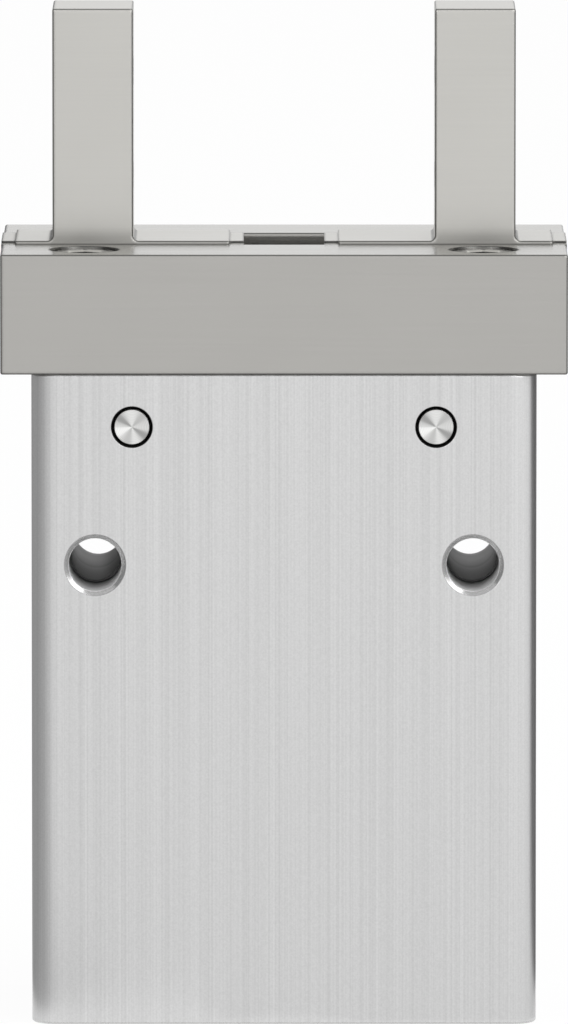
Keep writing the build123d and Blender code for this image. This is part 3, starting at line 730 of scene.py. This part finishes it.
# %% Stainless steel, faced and pressed
SCREW_COLOR = (0.62, 0.615, 0.60)
SOCKET_ROUGHNESS = 0.10
RIM_ROUGHNESS = 0.24
TURNING = 0.09 * MM
TURNING_CONTRAST = 0.04
WAVE_SPAN = (-1, 1)


def socket_steel():
    """Fine lathe rings round each screw's own axis, and smooth pressed walls in the socket."""
    material, tree, shader = finish("stainless_screw", SCREW_COLOR, 1.0, RIM_ROUGHNESS)
    from_screw = off_screw(tree)
    wave = combine(tree, "SINE", combine(tree, "MULTIPLY", from_screw, 2 * pi / TURNING))
    cloud = about_one(tree, grain(tree, (400, 400, 400)), CLOUD_CONTRAST)
    turned = about_one(tree, wave, TURNING_CONTRAST, WAVE_SPAN)
    shade_color(tree, shader, SCREW_COLOR, product(tree, cloud, turned))
    rim_start = HEAD_RADIUS - RIM_RADIUS
    smoother = spread(tree, from_screw, SOCKET_ROUGHNESS, RIM_ROUGHNESS, CONE_RADIUS, rim_start)
    tree.links.new(smoother, shader.inputs["Roughness"])
    relief(tree, shader, spread(tree, wave, 0, 1, *WAVE_SPAN), 0.4 * MICRON)
    return material


stainless = socket_steel()
print("finish:", stainless.name, "with a ring every", round(TURNING / MM, 2), "mm")

# %% [markdown]
# Four of them with Geometry Nodes
#
# The four screws are the corners of a rectangle, and that is what a two by two Grid gives: four points
# whose distances are plain inputs. Instance on Points puts the screw on each. The tree ends with
# Realize Instances and Set Material, so that the result is ordinary mesh, and the modifier is applied
# by making a new mesh from the evaluated object.

# %% The tree that repeats the screw
def screw_tree():
    """Puts the object given as Screw on the corners of a rectangle."""
    tree = bpy.data.node_groups.new("Guide screws", "GeometryNodeTree")
    face = tree.interface
    face.new_socket("Screw", in_out="INPUT", socket_type="NodeSocketObject")
    for name in ("Across", "Along", "Middle X", "Middle Y"):
        face.new_socket(name, in_out="INPUT", socket_type="NodeSocketFloat")
    face.new_socket("Finish", in_out="INPUT", socket_type="NodeSocketMaterial")
    face.new_socket("Geometry", in_out="OUTPUT", socket_type="NodeSocketGeometry")
    add, link = tree.nodes.new, tree.links.new
    given, result = add("NodeGroupInput"), add("NodeGroupOutput")
    screw = add("GeometryNodeObjectInfo")
    corners = add("GeometryNodeMeshGrid")
    corners.inputs["Vertices X"].default_value = 2
    corners.inputs["Vertices Y"].default_value = 2
    middle = add("ShaderNodeCombineXYZ")
    moved = add("GeometryNodeTransform")
    placed = add("GeometryNodeInstanceOnPoints")
    real = add("GeometryNodeRealizeInstances")
    coated = add("GeometryNodeSetMaterial")
    link(given.outputs["Screw"], screw.inputs["Object"])
    link(given.outputs["Across"], corners.inputs["Size X"])
    link(given.outputs["Along"], corners.inputs["Size Y"])
    link(given.outputs["Middle X"], middle.inputs["X"])
    link(given.outputs["Middle Y"], middle.inputs["Y"])
    link(corners.outputs["Mesh"], moved.inputs["Geometry"])
    link(middle.outputs["Vector"], moved.inputs["Translation"])
    link(moved.outputs["Geometry"], placed.inputs["Points"])
    link(screw.outputs["Geometry"], placed.inputs["Instance"])
    link(placed.outputs["Instances"], real.inputs["Geometry"])
    link(real.outputs["Geometry"], coated.inputs["Geometry"])
    link(given.outputs["Finish"], coated.inputs["Material"])
    link(coated.outputs["Geometry"], result.inputs["Geometry"])
    return tree


guide_screw_tree = screw_tree()
print("tree:", [item.name for item in guide_screw_tree.interface.items_tree])

# %% Run the tree and keep the plain mesh
def plain_from_tree(tree, name, values):
    """Runs a tree with these named values and returns its result as a plain object."""
    carrier = bpy.data.objects.new(name + "_carrier", bpy.data.meshes.new(name + "_carrier"))
    bpy.context.scene.collection.objects.link(carrier)
    modifier = carrier.modifiers.new(name, "NODES")
    modifier.node_group = tree
    inputs = [item for item in tree.interface.items_tree if item.in_out == "INPUT"]
    sockets = {item.name: item.identifier for item in inputs}
    for label, value in values.items():
        modifier[sockets[label]] = value
    bpy.context.view_layer.update()
    evaluated = carrier.evaluated_get(bpy.context.evaluated_depsgraph_get())
    mesh = bpy.data.meshes.new_from_object(evaluated)
    carrier.modifiers.remove(modifier)
    bpy.data.objects.remove(carrier)
    piece = bpy.data.objects.new(name, mesh)
    bpy.context.scene.collection.objects.link(piece)
    return piece


across = screws_high.x - screws_low.x - 2 * HEAD_RADIUS
along = screws_high.y - screws_low.y - 2 * HEAD_RADIUS
socket_screws = plain_from_tree(guide_screw_tree, "socket_screws", {
    "Screw": screw_pattern,
    "Across": across,
    "Along": along,
    "Middle X": (screws_high.x + screws_low.x) / 2,
    "Middle Y": (screws_high.y + screws_low.y) / 2,
    "Finish": stainless,
})
bpy.data.objects.remove(screw_pattern)
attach(socket_screws, "housing")
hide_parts("guide_screws")
print("screws", round(across / MM, 2), "by", round(along / MM, 2), "mm apart, faces:",
      len(socket_screws.data.polygons))

# %% [markdown]
# The floor and the white around it
#
# The picture's ground is white without any edge. The floor and the world show plain white to the
# camera, and to rays that a metal or a glass sends out, so that the steel mirrors the same white. All
# other light meets an ordinary pale floor. A small share of that floor stays in the mix, and it is
# what carries the object's shadow.

# %% Which rays see white
def seen_white(tree):
    """1 for rays of the camera, a gloss or a glass, and 0 for the rest."""
    path = tree.nodes.new("ShaderNodeLightPath")
    seen = combine(tree, "MAXIMUM", path.outputs["Is Camera Ray"], path.outputs["Is Glossy Ray"])
    return combine(tree, "MAXIMUM", seen, path.outputs["Is Transmission Ray"])


print("camera, glossy and transmission rays see white")

# %% Floor
FLOOR_HALF = 3.0
SHADOW_SHARE = 0.06

corners = [(x * FLOOR_HALF, y * FLOOR_HALF, 0) for x, y in ((-1, -1), (1, -1), (1, 1), (-1, 1))]
floor_mesh = bpy.data.meshes.new("floor")
floor_mesh.from_pydata(corners, [], [(0, 1, 2, 3)])
floor = bpy.data.objects.new("floor", floor_mesh)
bpy.context.scene.collection.objects.link(floor)
floor_paint, tree, shader = finish("floor_paint", (0.86, 0.86, 0.86), metallic=0.0, roughness=0.9)
shader.inputs["Specular IOR Level"].default_value = 0.1
white = tree.nodes.new("ShaderNodeEmission")
blend = tree.nodes.new("ShaderNodeMixShader")
tree.links.new(combine(tree, "MULTIPLY", seen_white(tree), 1 - SHADOW_SHARE), blend.inputs["Fac"])
tree.links.new(shader.outputs["BSDF"], blend.inputs[1])
tree.links.new(white.outputs["Emission"], blend.inputs[2])
tree.links.new(blend.outputs["Shader"], tree.nodes["Material Output"].inputs["Surface"])
floor_mesh.materials.append(floor_paint)
print("floor", 2 * FLOOR_HALF, "m wide, with", round(100 * SHADOW_SHARE), "percent of its own shade")

# %% World
WORLD_STRENGTH = 0.8

world = bpy.data.worlds.new("studio")
bpy.context.scene.world = world
world.use_nodes = True
tree = world.node_tree
soft = tree.nodes["Background"]
soft.inputs["Color"].default_value = (1, 1, 1, 1)
soft.inputs["Strength"].default_value = WORLD_STRENGTH
clear = tree.nodes.new("ShaderNodeBackground")
clear.inputs["Color"].default_value = (1, 1, 1, 1)
choose = tree.nodes.new("ShaderNodeMixShader")
tree.links.new(seen_white(tree), choose.inputs["Fac"])
tree.links.new(soft.outputs["Background"], choose.inputs[1])
tree.links.new(clear.outputs["Background"], choose.inputs[2])
tree.links.new(choose.outputs["Shader"], tree.nodes["World Output"].inputs["Surface"])
print("world: strength 1 where it is seen,", WORLD_STRENGTH, "where it lights")

# %% [markdown]
# Dark cards for the metal to mirror
#
# Polished and brushed metal has no shade of its own. It shows what stands around it, so a metal part
# in an all white room looks like paper. Photographers put grey and dark cards close beside such a part,
# out of the picture, and its rounded corners then draw lines of shade. The left card is wide and bends
# round the part, and its grey deepens towards the side: it makes the long soft shade on the body's left
# corner. The right one is dark, for the short hard one. The front one is nearly white and lies on the
# floor, and makes the body a touch darker towards its foot.
#
# The camera looks down on the part, so its mirrored rays run down too and soon meet the floor. That is
# why the cards stand close, and why each has a foot that lies on the floor. Only gloss sees them.

# %% One card
def glowing_paint(name):
    """Paint that shows the greys of the points, whatever light falls on it."""
    paint = bpy.data.materials.new(name)
    paint.use_nodes = True
    tree = paint.node_tree
    glow = tree.nodes.new("ShaderNodeEmission")
    shade = tree.nodes.new("ShaderNodeAttribute")
    shade.attribute_name = "grey"
    tree.links.new(shade.outputs["Color"], glow.inputs["Color"])
    tree.links.new(glow.outputs["Emission"], tree.nodes["Material Output"].inputs["Surface"])
    return paint


def grey_card(name, columns):
    """A card made of columns of points, each point with its own grey."""
    rows = len(columns[0])
    points = [pair for column in columns for pair in column]
    starts = [column * rows + row for column in range(len(columns) - 1) for row in range(rows - 1)]
    faces = [(start, start + 1, start + 1 + rows, start + rows) for start in starts]
    mesh = bpy.data.meshes.new(name)
    mesh.from_pydata([point for point, _ in points], [], faces)
    shades = mesh.color_attributes.new("grey", "FLOAT_COLOR", "POINT")
    for shade, (_, grey) in zip(shades.data, points):
        shade.color = (grey, grey, grey, 1)
    mesh.materials.append(glowing_paint(name + "_paint"))
    panel = bpy.data.objects.new(name, mesh)
    bpy.context.scene.collection.objects.link(panel)
    panel.visible_camera = False
    panel.visible_diffuse = False
    panel.visible_transmission = False
    panel.visible_shadow = False
    print(name, "with", len(columns), "columns of", rows, "points")


print("cards are made of columns, from the foot to the top")

# %% Three cards
CARD_RADIUS = 0.12
CARD_HEIGHT = 0.13
FOOT_RADIUS = 0.03
FOOT_LIFT = 0.4 * MM
LEFT_GREYS = ((-20, 0.90), (-36, 0.58), (-56, 0.46), (-78, 0.43), (-92, 0.35), (-112, 0.44), (-140, 0.34),
              (-165, 0.30))
RIGHT_GREYS = ((91, 0.60), (93, 0.20), (100, 0.12), (120, 0.12), (155, 0.20))
FRONT_GREYS = ((0.015, 0.88), (0.25, 0.96), (0.60, 1.0))
FRONT_AZIMUTHS = range(-20, 91, 10)


def beside(azimuth, radius, height):
    """A point beside the part. Azimuth 0 is in front, 90 on the right."""
    return Vector((radius * sin(radians(azimuth)), -radius * cos(radians(azimuth)), height))


def bent_card(name, stops):
    """A card with a foot and a wall that bends round the part."""
    section = ((FOOT_RADIUS, FOOT_LIFT), (CARD_RADIUS, FOOT_LIFT), (CARD_RADIUS, CARD_HEIGHT))
    grey_card(name, [[(beside(azimuth, *place), grey) for place in section] for azimuth, grey in stops])


bent_card("left_card", LEFT_GREYS)
bent_card("right_card", RIGHT_GREYS)
grey_card("front_card", [[(beside(azimuth, radius, FOOT_LIFT), grey) for radius, grey in FRONT_GREYS]
                         for azimuth in FRONT_AZIMUTHS])

# %% [markdown]
# Lamps
#
# Two large soft lamps do the lighting. One stands high in front on the right, and draws the bright
# crescents in the holes' chamfers and the bright line beside the body's right corner. The other fills
# from the left. Their strengths stay low, so that a colour renders about as it is written.

# %% Two soft lamps
MIDDLE_HEIGHT = 45 * MM
middle = Vector((0, 0, MIDDLE_HEIGHT))


def around(azimuth, elevation, distance):
    """A point round the object. Azimuth 0 is in front, 90 on the right."""
    direction = beside(azimuth, cos(radians(elevation)), sin(radians(elevation)))
    return middle + distance * direction


def soft_lamp(name, place, size, watts):
    """A square area lamp that points at the part."""
    lamp = bpy.data.lights.new(name, "AREA")
    lamp.shape = "SQUARE"
    lamp.size = size
    lamp.energy = watts
    holder = bpy.data.objects.new(name, lamp)
    bpy.context.scene.collection.objects.link(holder)
    holder.location = place
    holder.rotation_euler = (middle - place).to_track_quat("-Z", "Y").to_euler()
    print(name, watts, "W,", size, "m wide")


soft_lamp("key_lamp", around(azimuth=58, elevation=40, distance=0.9), size=0.8, watts=5.2)
soft_lamp("fill_lamp", around(azimuth=-38, elevation=22, distance=1.1), size=0.6, watts=3.0)

# %% [markdown]
# The camera
#
# The picture was taken with a very long lens from a little above: the verticals hardly converge, and
# the top of the block shows as a narrow strip. The distance follows from how much smaller the body is
# at its foot than at its top, and the lens from the part filling the frame.

# %% Camera
CAMERA_ELEVATION = 6.45
CAMERA_DISTANCE = 1.43
LENS = 594.0
AIM_HEIGHT = 43.78 * MM

camera = bpy.data.objects.new("camera", bpy.data.cameras.new("camera"))
bpy.context.scene.collection.objects.link(camera)
bpy.context.scene.camera = camera
aim = Vector((0, front_y, AIM_HEIGHT))
tilt = radians(CAMERA_ELEVATION)
camera.location = aim + CAMERA_DISTANCE * Vector((0, -cos(tilt), sin(tilt)))
camera.rotation_euler = (pi / 2 - tilt, 0, 0)
camera.data.lens = LENS
camera.data.clip_end = 20
print("camera", CAMERA_DISTANCE, "m away, lens", LENS, "mm")

# %% [markdown]
# Last settings
#
# The Standard view transform shows colours as they are.

# %% Finish
bpy.context.scene.view_settings.view_transform = "Standard"
